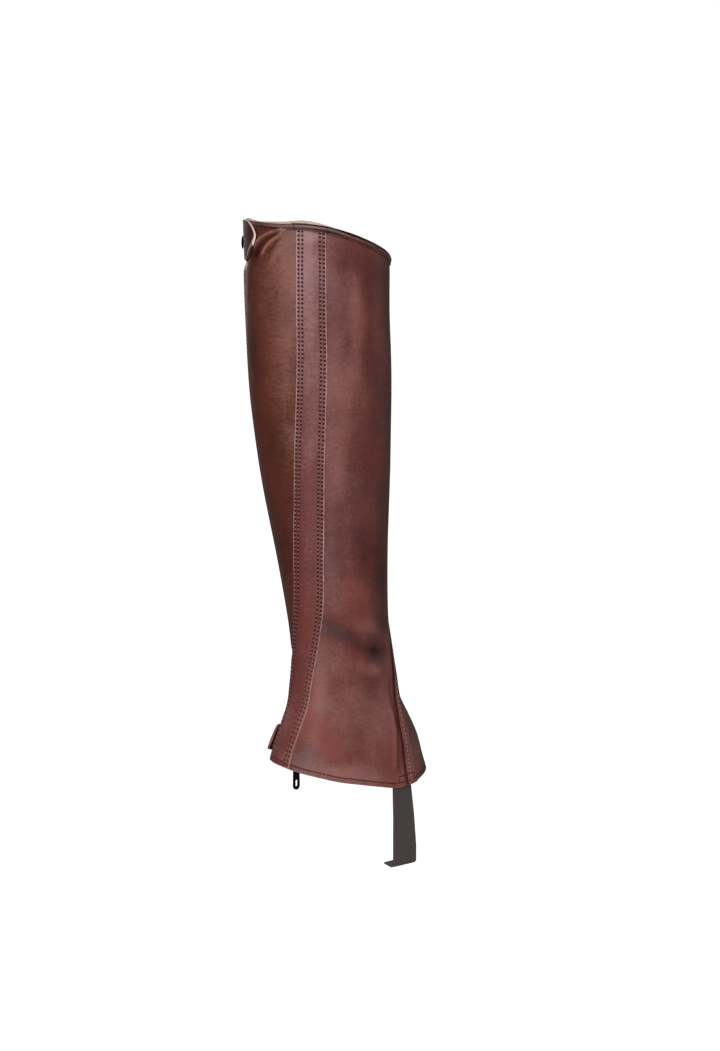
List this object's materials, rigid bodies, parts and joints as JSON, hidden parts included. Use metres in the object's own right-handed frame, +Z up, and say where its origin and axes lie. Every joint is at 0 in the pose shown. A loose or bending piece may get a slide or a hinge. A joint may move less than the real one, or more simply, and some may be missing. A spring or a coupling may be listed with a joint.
{
  "type": "half chap",
  "caption": "Leather half chap for the right leg with a shin band, an outer zip under two press-stud tabs and an elastic foot strap.",
  "frame": {"origin": "centre of the calf opening on the leg's axis, level with the lowest point of the rim", "axes": "+Z up the leg, -Y out of the shin at the calf, +X toward the inner side of the leg"},
  "size_m": [0.1479, 0.1355, 0.5185],
  "materials": {
    "outer_leather": "waxed",
    "main_leather": "waxed and mottled",
    "band_leather": "waxed",
    "binding_leather": "waxed",
    "zip_tape": "woven",
    "zip_teeth": "moulded coil",
    "black_metal": "black enamel",
    "elastic": "ribbed elastic webbing"
  },
  "bodies": {
    "garment": {"outer_panel": "outer_leather", "inner_panel": "main_leather", "back_panel": "main_leather", "shin_band": "band_leather", "top_binding": "binding_leather", "zip_tape_front": "zip_tape", "zip_tape_back": "zip_tape", "zip_chain": "zip_teeth", "zip_slider": "black_metal", "top_tab": "main_leather", "bottom_tab": "main_leather", "top_stud": "black_metal", "bottom_stud": "black_metal", "foot_strap": "elastic"},
    "puller": {"zip_puller": "black_metal"}
  },
  "joints": [
    {"name": "puller_swing", "type": "hinge", "parent": "garment", "child": "puller", "pos_m": [-0.01709, 0.0004, -0.39933], "axis": [0.6666, 0.7454, 0], "range_deg": [0, 130]}
  ]
}
